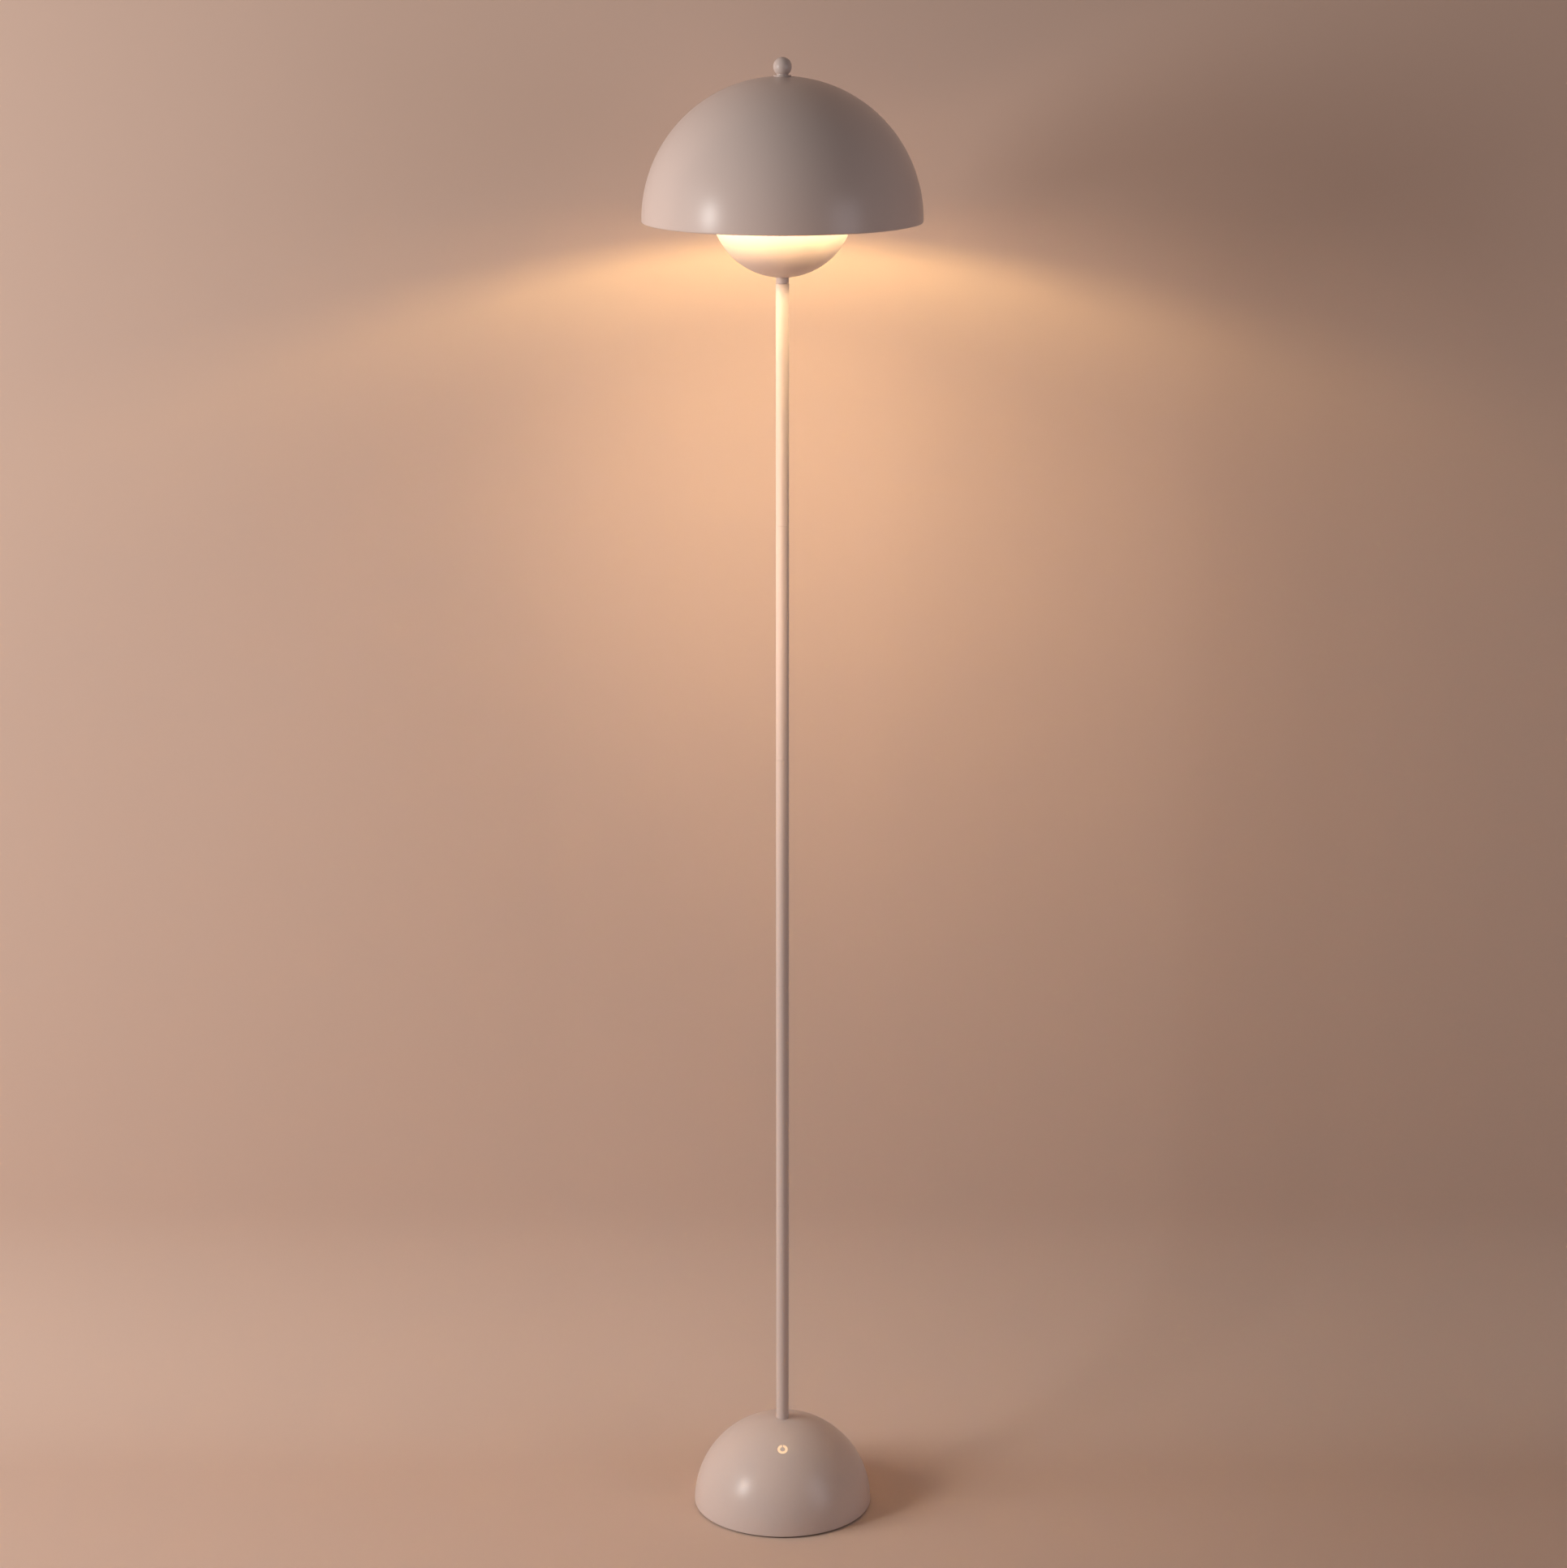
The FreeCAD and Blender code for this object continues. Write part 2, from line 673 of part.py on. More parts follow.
def shade_pieces():
    tube = chamfered_tube(pole_radius, pole_radius - pole_wall, bowl_nut_top, centre_tube_length,
                          seam_chamfer)
    side_hole = Part.makeCylinder(lead_exit_radius, pole_radius + beyond,
                                  FreeCAD.Vector(0, 0, lead_exit), FreeCAD.Vector(1, 0, 0))
    stud = rod(thread_radius, tube_top - thread_engagement, thread_engagement)
    stud = stud.fuse(rod(stud_radius, tube_top, finial_seat + stud_grip - tube_top))
    shade = spun_shell(shade_radius, shade_wall, shade_skirt, shade_hem, stud_hole)
    return {
        "centre_tube": tube.cut(side_hole),
        "shade_stud": stud,
        "shade_support": ring(washer_radius, stud_hole, tube_top, support_thickness),
        "shade": moved(shade, 0, 0, shade_centre),
        "finial_washer": ring(finial_washer_radius, stud_hole, finial_seat - finial_washer_thickness,
                              finial_washer_thickness),
        "finial_ball": finial_ball(),
    }


# --- Cables inside the lamp ---
def lead_pieces():
    plug_top = board_top + connector_height
    plug_y = board_start + plug_row
    lead = routed_lead(
        [
            FreeCAD.Vector(0, plug_y, plug_top),
            FreeCAD.Vector(0, plug_y, lead_height),
            FreeCAD.Vector(0, 0, lead_height),
            FreeCAD.Vector(0, 0, lead_exit),
            FreeCAD.Vector(lead_offset, 0, lead_exit),
            FreeCAD.Vector(lead_offset, 0, led_plate_top + led_board_thickness),
        ],
        [lead_bend, lead_bend, lead_exit_bend, lead_exit_bend],
        lead_radius)
    lean = math.radians(button_elevation)
    outward = FreeCAD.Vector(0, -math.cos(lean), math.sin(lean))
    board_back = FreeCAD.Vector(0, 0, base_centre) + outward * switch_board_bottom
    switch_lead = routed_lead(
        [
            board_back,
            board_back - outward * switch_lead_drop,
            FreeCAD.Vector(plug_spacing, 0, lead_height),
            FreeCAD.Vector(plug_spacing, plug_y, lead_height),
            FreeCAD.Vector(plug_spacing, plug_y, plug_top),
        ],
        [switch_lead_bend, switch_lead_bend, switch_lead_bend],
        switch_lead_radius)
    return {"power_lead": lead, "switch_lead": switch_lead}


os.makedirs("parts", exist_ok=True)
makers = (base_pieces, battery_pieces, board_pieces, button_pieces, pole_pieces, bowl_pieces,
          shade_pieces, lead_pieces)
for maker in makers:
    for node, solid in maker().items():
        solid.exportStep("parts/%s.step" % node)
        print(node, len(solid.Solids), round(solid.Volume, 1), solid.isValid())
print("overall height", round(finial_centre + finial_radius, 2))
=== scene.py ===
import math

import bmesh
import bpy
from mathutils import Matrix, Vector


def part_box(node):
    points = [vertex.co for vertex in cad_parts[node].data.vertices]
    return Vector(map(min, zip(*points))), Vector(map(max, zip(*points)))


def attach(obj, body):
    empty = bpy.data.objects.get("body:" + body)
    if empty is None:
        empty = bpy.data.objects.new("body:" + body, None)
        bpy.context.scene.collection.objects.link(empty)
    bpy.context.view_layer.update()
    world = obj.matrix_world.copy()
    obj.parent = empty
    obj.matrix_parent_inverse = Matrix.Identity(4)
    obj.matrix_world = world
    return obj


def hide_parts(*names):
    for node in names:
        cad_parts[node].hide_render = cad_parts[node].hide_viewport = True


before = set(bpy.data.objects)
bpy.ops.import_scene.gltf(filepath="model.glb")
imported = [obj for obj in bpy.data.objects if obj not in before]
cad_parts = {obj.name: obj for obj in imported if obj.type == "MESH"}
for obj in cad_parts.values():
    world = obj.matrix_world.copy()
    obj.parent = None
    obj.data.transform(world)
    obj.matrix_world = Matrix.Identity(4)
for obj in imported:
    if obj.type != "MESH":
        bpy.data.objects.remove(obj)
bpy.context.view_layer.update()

# --- Foot pad ---
# A die-cut ring of closed-cell EVA foam, 1.5 mm thick, glued under the bottom plate. It holds the
# base just clear of the floor, so that a thin dark line shows all round under the dome.
MM = 0.001
ROUND_STEPS = 4
SHARP_ANGLE = math.radians(32)


def linear(hex_colour):
    """An sRGB colour written as RRGGBB, as linear RGBA."""
    channels = [int(hex_colour[i:i + 2], 16) / 255 for i in (0, 2, 4)]
    return [c / 12.92 if c <= 0.04045 else ((c + 0.055) / 1.055) ** 2.4 for c in channels] + [1.0]


def add_node(tree, kind, inputs=None, **settings):
    """Adds a node with its settings. An input takes a plain value or another node's output."""
    node = tree.nodes.new(kind)
    for name, value in settings.items():
        setattr(node, name, value)
    for socket, value in (inputs or {}).items():
        if isinstance(value, bpy.types.NodeSocket):
            tree.links.new(value, node.inputs[socket])
        else:
            node.inputs[socket].default_value = value
    return node


def new_finish(name):
    """An empty material, its node tree and the piece's own coordinates in metres."""
    material = bpy.data.materials.new(name)
    material.use_nodes = True
    tree = material.node_tree
    tree.nodes.clear()
    return material, tree, add_node(tree, "ShaderNodeTexCoord").outputs["Object"]


def plain_finish(name, light, dark, patch, grain, relief, roughness, metallic=0.0, ior=1.5):
    """A finish with cloudy patches between two colours and a fine grain, sizes in millimetres."""
    material, tree, place = new_finish(name)
    cloud = add_node(tree, "ShaderNodeTexNoise", {
        "Vector": place, "Scale": 1 / (patch * MM), "Detail": 3.0})
    fine = add_node(tree, "ShaderNodeTexNoise", {
        "Vector": place, "Scale": 1 / (grain * MM), "Detail": 2.0})
    colour = add_node(tree, "ShaderNodeMix", {
        "Factor": cloud.outputs["Fac"], 6: linear(light), 7: linear(dark)}, data_type="RGBA")
    rough = add_node(tree, "ShaderNodeMapRange", {
        "Value": fine.outputs["Fac"], "From Min": 0.3, "From Max": 0.7,
        "To Min": roughness * 0.85, "To Max": roughness * 1.15})
    bump = add_node(tree, "ShaderNodeBump", {
        "Height": fine.outputs["Fac"], "Distance": relief * MM})
    shader = add_node(tree, "ShaderNodeBsdfPrincipled", {
        "Base Color": colour.outputs[2], "Roughness": rough.outputs["Result"],
        "Normal": bump.outputs["Normal"], "Metallic": metallic, "IOR": ior})
    add_node(tree, "ShaderNodeOutputMaterial", {"Surface": shader.outputs["BSDF"]})
    return material


def arc(centre, radius, start, end, steps):
    """Points (radius, height) of an arc in a turned profile, angles in degrees from outwards."""
    points = []
    for step in range(steps + 1):
        angle = math.radians(start + (end - start) * step / steps)
        points.append((centre[0] + radius * math.cos(angle), centre[1] + radius * math.sin(angle)))
    return points


def turned(name, outline, sides, materials, inside=()):
    """A closed body turned about Z from an outline of (radius, height) in millimetres.

    Spans of the outline whose numbers are in `inside` take the second material.
    """
    mesh = bpy.data.meshes.new(name)
    work = bmesh.new()
    loops = []
    for radius, height in outline:
        if radius < 1e-6:
            loops.append([work.verts.new((0, 0, height * MM))] * sides)
            continue
        loop = []
        for side in range(sides):
            angle = 2 * math.pi * side / sides
            loop.append(work.verts.new(
                (radius * MM * math.cos(angle), radius * MM * math.sin(angle), height * MM)))
        loops.append(loop)
    for span in range(len(loops)):
        low, high = loops[span], loops[(span + 1) % len(loops)]
        if low[0] is low[1] and high[0] is high[1]:
            continue
        for side in range(sides):
            after = (side + 1) % sides
            corners = [low[side], low[after], high[after], high[side]]
            face = work.faces.new(list(dict.fromkeys(corners)))
            face.smooth = True
            face.material_index = 1 if span in inside else 0
    bmesh.ops.recalc_face_normals(work, faces=work.faces)
    work.to_mesh(mesh)
    work.free()
    mesh.set_sharp_from_angle(angle=SHARP_ANGLE)
    for material in materials:
        mesh.materials.append(material)
    piece = bpy.data.objects.new(name, mesh)
    bpy.context.collection.objects.link(piece)
    return piece


def rounded_ring(outer, inner, bottom, top, edge):
    """The outline of a flat ring whose four edges are rounded."""
    outline = []
    for centre, start in (
        ((outer - edge, bottom + edge), -90), ((outer - edge, top - edge), 0),
        ((inner + edge, top - edge), 90), ((inner + edge, bottom + edge), 180),
    ):
        outline += arc(centre, edge, start, start + 90, ROUND_STEPS)
    return outline


def place(piece, body, slot, *nodes):
    """The piece rides on a body and stands for its CAD nodes. Its slot is not used."""
    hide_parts(*nodes)
    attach(piece, body)


def dress(material, *nodes):
    """CAD nodes that show as they are get their real finish."""
    for node in nodes:
        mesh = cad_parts[node].data
        mesh.materials.clear()
        mesh.materials.append(material)


PAD_WIDTH = 7.5
PAD_EDGE = 0.3
PAD_SIDES = 160
low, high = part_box("foot_pad")
pad_outer = high.x / MM
foam = plain_finish("eva_foam_dark_brown", "2A1D18", "201612", 6.0, 0.5, 0.06, 0.9)
pad_outline = rounded_ring(pad_outer, pad_outer - PAD_WIDTH, low.z / MM, high.z / MM, PAD_EDGE)
foot_pad = turned("foot_pad_ring", pad_outline, PAD_SIDES, [foam])
place(foot_pad, "lamp", "pad_rubber", "foot_pad")

# --- Bottom plate and its countersunk screws ---
# A laser-cut steel disc, zinc plated, that closes the dome and carries the weight. Six M4 screws
# with hexagon sockets sit flush in it: three into the dome's tabs and three into the weight.
zinc = plain_finish("zinc_plated_steel", "B9B8B2", "A3A29C", 14.0, 0.8, 0.01, 0.34, 1.0)
screw_steel = plain_finish("black_oxide_steel", "3A3A3C", "2C2C2E", 3.0, 0.4, 0.01, 0.38, 1.0)
dress(zinc, "bottom_plate")


def parts_on_circle():
    """A node tree that spreads copies of one part evenly on a circle about Z."""
    tree = bpy.data.node_groups.new("parts_on_circle", "GeometryNodeTree")
    face = tree.interface
    for name, kind in (
        ("Geometry", "Geometry"), ("Part", "Object"), ("Count", "Int"), ("Circle radius", "Float"),
        ("First angle", "Float"), ("Finish", "Material"),
    ):
        face.new_socket(name, in_out="INPUT", socket_type="NodeSocket" + kind)
    face.new_socket("Geometry", in_out="OUTPUT", socket_type="NodeSocketGeometry")
    given = add_node(tree, "NodeGroupInput").outputs
    points = add_node(tree, "GeometryNodeMeshLine", {
        "Count": given["Count"], "Offset": (0, 0, 0)}, mode="OFFSET")
    index = add_node(tree, "GeometryNodeInputIndex").outputs["Index"]
    share = add_node(tree, "ShaderNodeMath", {0: index, 1: given["Count"]}, operation="DIVIDE")
    turn = add_node(tree, "ShaderNodeMath", {
        0: share.outputs[0], 1: 2 * math.pi, 2: given["First angle"]}, operation="MULTIPLY_ADD")
    spin = add_node(tree, "ShaderNodeCombineXYZ", {"Z": turn.outputs[0]})
    reach = add_node(tree, "ShaderNodeCombineXYZ", {"X": given["Circle radius"]})
    spot = add_node(tree, "ShaderNodeVectorRotate", {
        "Vector": reach.outputs[0], "Angle": turn.outputs[0], "Axis": (0, 0, 1)},
        rotation_type="AXIS_ANGLE")
    moved = add_node(tree, "GeometryNodeSetPosition", {
        "Geometry": points.outputs["Mesh"], "Position": spot.outputs["Vector"]})
    part = add_node(tree, "GeometryNodeObjectInfo", {"Object": given["Part"], "As Instance": True})
    copies = add_node(tree, "GeometryNodeInstanceOnPoints", {
        "Points": moved.outputs["Geometry"], "Instance": part.outputs["Geometry"],
        "Rotation": spin.outputs[0]})
    real = add_node(tree, "GeometryNodeRealizeInstances", {"Geometry": copies.outputs["Instances"]})
    done = add_node(tree, "GeometryNodeSetMaterial", {
        "Geometry": real.outputs["Geometry"], "Material": given["Finish"]})
    add_node(tree, "NodeGroupOutput", {"Geometry": done.outputs["Geometry"]})
    return tree


circle_tree = parts_on_circle()


def spread(name, part, count, radius, first_angle, material):
    """Copies of a part on a circle, as one plain mesh. The part itself is used up."""
    holder = bpy.data.objects.new(name, bpy.data.meshes.new(name))
    bpy.context.collection.objects.link(holder)
    modifier = holder.modifiers.new("spread", "NODES")
    modifier.node_group = circle_tree
    values = {"Part": part, "Count": count, "Circle radius": radius * MM,
              "First angle": math.radians(first_angle), "Finish": material}
    for socket in circle_tree.interface.items_tree:
        if socket.in_out == "INPUT" and socket.name in values:
            modifier[socket.identifier] = values[socket.name]
    seen = bpy.context.evaluated_depsgraph_get()
    mesh = bpy.data.meshes.new_from_object(holder.evaluated_get(seen), depsgraph=seen)
    holder.modifiers.remove(modifier)
    holder.data = mesh
    mesh.name = name
    bpy.data.objects.remove(part)
    return holder


def carve(piece, cutter):
    """Cuts a piece with another one, which is used up. The faces of the cut keep their finish."""
    modifier = piece.modifiers.new("cut", "BOOLEAN")
    modifier.operation = "DIFFERENCE"
    modifier.solver = "EXACT"
    modifier.object = cutter
    seen = bpy.context.evaluated_depsgraph_get()
    mesh = bpy.data.meshes.new_from_object(piece.evaluated_get(seen), depsgraph=seen)
    piece.modifiers.remove(modifier)
    mesh.name = piece.name
    piece.data = mesh
    bpy.data.objects.remove(cutter)


def prism(name, corners, bottom, top, material):
    """An upright prism in millimetres, for a socket in a screw head or a straight cut."""
    mesh = bpy.data.meshes.new(name)
    work = bmesh.new()
    low = [work.verts.new((x * MM, y * MM, bottom * MM)) for x, y in corners]
    base = work.faces.new(low)
    raised = bmesh.ops.extrude_face_region(work, geom=[base])["geom"]
    tops = [item for item in raised if isinstance(item, bmesh.types.BMVert)]
    bmesh.ops.translate(work, verts=tops, vec=(0, 0, (top - bottom) * MM))
    bmesh.ops.recalc_face_normals(work, faces=work.faces)
    work.to_mesh(mesh)
    work.free()
    mesh.materials.append(material)
    piece = bpy.data.objects.new(name, mesh)
    bpy.context.collection.objects.link(piece)
    return piece


def hexagon(across_flats):
    corner = across_flats / math.sqrt(3)
    return [(corner * math.cos(math.radians(60 * side)), corner * math.sin(math.radians(60 * side)))
            for side in range(6)]


SCREW_RADIUS = 2.0
SCREW_LENGTH = 8.0
SCREW_KEY = 2.5
SCREW_KEY_DEPTH = 1.3
SCREW_SIDES = 48
SCREW_COUNT = 3
TAB_TURN = 30
WEIGHT_SCREW_TURN = 90


def countersunk_screw(bottom):
    """A countersunk screw, head down, with a hexagon socket and a faint ring at its head's edge."""
    head = 2 * SCREW_RADIUS - 0.08
    top = bottom + SCREW_LENGTH
    screw = turned("screw", [
        (0, bottom), (head - 0.15, bottom), (head, bottom + 0.1),
        (SCREW_RADIUS, bottom + SCREW_RADIUS), (SCREW_RADIUS, top), (0, top)],
        SCREW_SIDES, [screw_steel])
    socket_top = bottom + SCREW_KEY_DEPTH
    carve(screw, prism("screw_socket", hexagon(SCREW_KEY), bottom - 1, socket_top, screw_steel))
    return screw


plate_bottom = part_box("bottom_plate")[0].z / MM
tab_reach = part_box("tab_screws")[1].x / MM - 2 * SCREW_RADIUS
tab_circle = tab_reach / math.cos(math.radians(TAB_TURN))
weight_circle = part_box("weight_screws")[1].y / MM - 2 * SCREW_RADIUS
for name, node, radius, angle in (
    ("tab_screw_set", "tab_screws", tab_circle, TAB_TURN),
    ("weight_screw_set", "weight_screws", weight_circle, WEIGHT_SCREW_TURN),
):
    screw = countersunk_screw(plate_bottom)
    screws = spread(name, screw, SCREW_COUNT, radius, angle, screw_steel)
    place(screws, "lamp", "zinc_steel", node)

# --- Weight, battery and control board inside the base ---
# A cast-iron disc keeps the lamp upright. On it lie a moulded tray with two shrink-wrapped cells
# and a green epoxy board on steel standoffs, which carries the plugs and the charging socket.
iron = plain_finish("cast_iron_as_cast", "34312E", "26231F", 9.0, 1.2, 0.25, 0.72, 1.0)
black_abs = plain_finish("moulded_black_abs", "232324", "1B1B1C", 20.0, 0.6, 0.02, 0.5)
wrap = plain_finish("shrink_wrap_blue", "1E5C99", "1A4F87", 30.0, 2.0, 0.02, 0.28)
board = plain_finish("green_epoxy_board", "1F6B3A", "17552D", 3.0, 0.7, 0.03, 0.36)
pvc = plain_finish("pvc_lead_sheath", "E4E1DA", "D8D5CD", 25.0, 1.5, 0.03, 0.45)
dress(iron, "base_weight")
dress(black_abs, "battery_tray", "board_parts", "button_guide", "switch_body", "switch_plunger")
dress(wrap, "battery_cells")
dress(board, "control_board", "switch_board")
dress(zinc, "board_standoffs", "switch_screws", "shell_tabs", "base_washer", "base_locknut",
      "base_nipple", "charge_socket")
dress(pvc, "power_lead", "switch_lead")

# --- Base dome ---
# A half sphere pressed from 1.2 mm steel with a rounded rim, satin powder coat in a warm greige.
# The coat is smooth, with a faint orange peel, and its soft gloss shows the studio as broad bands.
BASE_RADIUS = 85.0
BASE_WALL = 1.2
SEAT_RADIUS = 8.0
THREAD_RADIUS = 4.95
BOLT_HOLE = THREAD_RADIUS + 0.2
DOME_STEPS = 72
TURN_SIDES = 96
base_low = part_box("base_shell")[0].z / MM


def satin_paint(name, light, dark, roughness):
    """Satin powder coat: orange peel about 1.6 mm across and 2 microns high, cloudy by 90 mm."""
    material, tree, place = new_finish(name)
    cloud = add_node(tree, "ShaderNodeTexNoise", {
        "Vector": place, "Scale": 1 / (90 * MM), "Detail": 1.0})
    peel = add_node(tree, "ShaderNodeTexNoise", {
        "Vector": place, "Scale": 1 / (1.6 * MM), "Detail": 1.0})
    fine = add_node(tree, "ShaderNodeTexNoise", {
        "Vector": place, "Scale": 1 / (0.35 * MM), "Detail": 1.0})
    colour = add_node(tree, "ShaderNodeMix", {
        "Factor": cloud.outputs["Fac"], 6: linear(light), 7: linear(dark)}, data_type="RGBA")
    rough = add_node(tree, "ShaderNodeMapRange", {
        "Value": cloud.outputs["Fac"], "From Min": 0.3, "From Max": 0.7,
        "To Min": roughness - 0.01, "To Max": roughness + 0.01})
    height = add_node(tree, "ShaderNodeMath", {
        0: fine.outputs["Fac"], 1: 0.15, 2: peel.outputs["Fac"]}, operation="MULTIPLY_ADD")
    bump = add_node(tree, "ShaderNodeBump", {"Height": height.outputs[0], "Distance": 0.002 * MM})
    shader = add_node(tree, "ShaderNodeBsdfPrincipled", {
        "Base Color": colour.outputs[2], "Roughness": rough.outputs["Result"],
        "Normal": bump.outputs["Normal"], "IOR": 1.5})
    add_node(tree, "ShaderNodeOutputMaterial", {"Surface": shader.outputs["BSDF"]})
    return material


greige = satin_paint("satin_powder_coat_greige", "CFBBB2", "CCB8AF", 0.30)


def across(radius, height):
    return math.sqrt(radius ** 2 - height ** 2)


def spun_shell(radius, wall, skirt, hem, hole, centre, up=1):
    """The outline of a half-round shell, and the numbers of its spans that face inwards.

    Its seat is flat, its skirt hangs straight below the centre and a hem folds inside the rim.
    """
    inner = radius - wall
    rim = wall if hem else wall / 2
    shoulder = rim - skirt
    start = max(shoulder, 0.0)
    seat = across(radius, SEAT_RADIUS)
    outer_top = math.degrees(math.asin(seat / radius))
    inner_top = math.degrees(math.asin((seat - wall) / inner))
    inner_end = hem if hem else start
    outline = arc((across(radius, start) - rim, shoulder), rim, 0, -180, 8)[::-1]
    outline += arc((0, 0), radius, math.degrees(math.asin(start / radius)), outer_top, DOME_STEPS)
    outline += [(SEAT_RADIUS - 0.4, seat), (hole, seat), (hole, seat - wall)]
    first_inside = len(outline) - 1
    outline += arc((0, 0), inner, inner_top, math.degrees(math.asin(inner_end / inner)), DOME_STEPS)
    if hem:
        outline.append((across(radius, start) - 2 * rim, hem))
    inside = set(range(first_inside, len(outline)))
    return [(r, centre + up * z) for r, z in outline], inside


def true_sphere(piece, centre, radius):
    """Gives the faces on a sphere its exact normals, so that cuts leave no shading marks."""
    mesh = piece.data
    middle = Vector((0, 0, centre * MM))
    normals = [Vector(corner.vector) for corner in mesh.corner_normals]
    for face in mesh.polygons:
        ray = face.center - middle
        off_sphere = abs(ray.length - radius * MM) > 0.06 * MM
        if off_sphere or abs(ray.normalized().dot(face.normal)) < 0.995:
            continue
        sign = 1 if ray.dot(face.normal) > 0 else -1
        for loop in face.loop_indices:
            spot = mesh.vertices[mesh.loops[loop].vertex_index].co - middle
            normals[loop] = spot.normalized() * sign
    mesh.normals_split_custom_set([tuple(normal) for normal in normals])


def smooth_on_dome(piece):
    """Shades a piece of the base dome as part of its sphere, with crisp edges where it is cut."""
    true_sphere(piece, base_low, BASE_RADIUS)
    piece.data.set_sharp_from_angle(angle=SHARP_ANGLE)
    true_sphere(piece, base_low, BASE_RADIUS)


def racetrack(width, height, steps=12):
    """The outline of a slot with round ends, across X and up Y."""
    end = height / 2
    flat = width / 2 - end
    points = []
    for side, start in ((1, -90), (-1, 90)):
        points += [(side * flat + x, y) for x, y in arc((0, 0), end, start, start + 180, steps)]
    return points


BUTTON_ELEVATION = 57.8
CAP_RADIUS = 6.0
CAP_GAP = 0.12
CUT_BOTTOM = 75.0
CUT_TOP = 95.0
PORT_WIDTH = 13.4
PORT_HEIGHT = 7.4
PORT_START = 60.0
PORT_DEPTH = 30.0
BASE_SIDES = 224
button_place = (Matrix.Translation((0, 0, base_low * MM))
                @ Matrix.Rotation(math.radians(90 - BUTTON_ELEVATION), 4, "X"))

outline, _ = spun_shell(BASE_RADIUS, BASE_WALL, 0.0, 0.0, BOLT_HOLE, base_low)
base_dome = turned("base_dome", outline, BASE_SIDES, [greige])
hole_radius = CAP_RADIUS + CAP_GAP
button_hole = turned("button_hole", [
    (0, CUT_BOTTOM), (hole_radius, CUT_BOTTOM), (hole_radius, CUT_TOP), (0, CUT_TOP)],
    TURN_SIDES, [greige])
button_hole.data.transform(button_place)
carve(base_dome, button_hole)
socket_low, socket_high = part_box("charge_socket")
socket_level = (socket_low.z + socket_high.z) / 2
port = prism("port_cut", racetrack(PORT_WIDTH, PORT_HEIGHT), 0, PORT_DEPTH, greige)
port.data.transform(Matrix.Translation((0, PORT_START * MM, socket_level))
                    @ Matrix.Rotation(math.radians(-90), 4, "X"))
carve(base_dome, port)
smooth_on_dome(base_dome)
place(base_dome, "lamp", "satin_paint", "base_shell")

# --- Push button with its lit ring ---
# A cap turned to the dome's own curve sits flush in its hole and is painted with it. An open ring
# of frosted acrylic in it, lit from below, shows as a small warm symbol with its gap at the top.
FLANGE_RADIUS = 7.4
RING_OUTER = 4.8
RING_INNER = 2.5
RING_GAP = 1.1
RING_SIDES = 72
STEM_RADIUS = 1.5
STEM_LENGTH = 1.4
flange_top = across(BASE_RADIUS - BASE_WALL, FLANGE_RADIUS) - 0.25
flange_bottom = flange_top - 1.2


def sphere_top(outer, inner, steps):
    """Points of an outline along the dome's own curve, from the radius `outer` to `inner`."""
    first = math.degrees(math.acos(outer / BASE_RADIUS))
    last = math.degrees(math.acos(inner / BASE_RADIUS))
    return arc((0, 0), BASE_RADIUS, first, last, steps)


def open_ring(name, top_outline, material):
    """The symbol's ring with its gap, standing on the flange's underside."""
    foot = [(RING_INNER, flange_bottom), (RING_OUTER, flange_bottom)]
    ring = turned(name, foot + top_outline, RING_SIDES, [material])
    half = RING_GAP / 2
    gap = [(-half, 1), (half, 1), (half, 7), (-half, 7)]
    carve(ring, prism(name + "_gap", gap, 80, 90, material))
    return ring


def lit_acrylic():
    """Frosted acrylic over warm LEDs: nearly even light, cloudy by 1.5 mm."""
    material, tree, place = new_finish("frosted_acrylic_lit")
    cloud = add_node(tree, "ShaderNodeTexNoise", {
        "Vector": place, "Scale": 1 / (1.5 * MM), "Detail": 1.0})
    glow = add_node(tree, "ShaderNodeMix", {
        "Factor": cloud.outputs["Fac"], 6: linear("FCD6AC"), 7: linear("F5C89C")}, data_type="RGBA")
    shader = add_node(tree, "ShaderNodeBsdfPrincipled", {
        "Base Color": linear("9A8676"), "Roughness": 0.45, "IOR": 1.49,
        "Emission Color": glow.outputs[2], "Emission Strength": 0.85})
    add_node(tree, "ShaderNodeOutputMaterial", {"Surface": shader.outputs["BSDF"]})
    return material


stem_bottom = flange_bottom - STEM_LENGTH
cap = turned("button_cap_disc", [
    (0, stem_bottom), (STEM_RADIUS, stem_bottom), (STEM_RADIUS, flange_bottom),
    (FLANGE_RADIUS, flange_bottom), (FLANGE_RADIUS, flange_top), (CAP_RADIUS, flange_top)]
    + sphere_top(CAP_RADIUS, 0, 16), TURN_SIDES, [greige])
ring_cut = open_ring("ring_cut", [(RING_OUTER, 88), (RING_INNER, 88)], greige)
carve(cap, ring_cut)
light_ring = open_ring("button_ring", sphere_top(RING_OUTER, RING_INNER, 6), lit_acrylic())
for piece, slot, node in (
    (cap, "satin_paint", "button_cap"), (light_ring, "lit_acrylic", "button_light_ring"),
):
    piece.data.transform(button_place)
    smooth_on_dome(piece)
    place(piece, "button", slot, node)

# --- Pole ---
# Five equal tubes, 12 mm across, powder coated like the base. Each is faced square with its edge
# just broken, and they butt over hidden hollow studs, so that only a hairline shows at a joint.
POLE_RADIUS = 6.0
POLE_WALL = 1.0
SEAM_CHAMFER = 0.25


def tube_outline(outer, inner, bottom, top, chamfer):
    return [
        (inner, bottom), (outer - chamfer, bottom), (outer, bottom + chamfer),
        (outer, top - chamfer), (outer - chamfer, top), (inner, top),
    ]


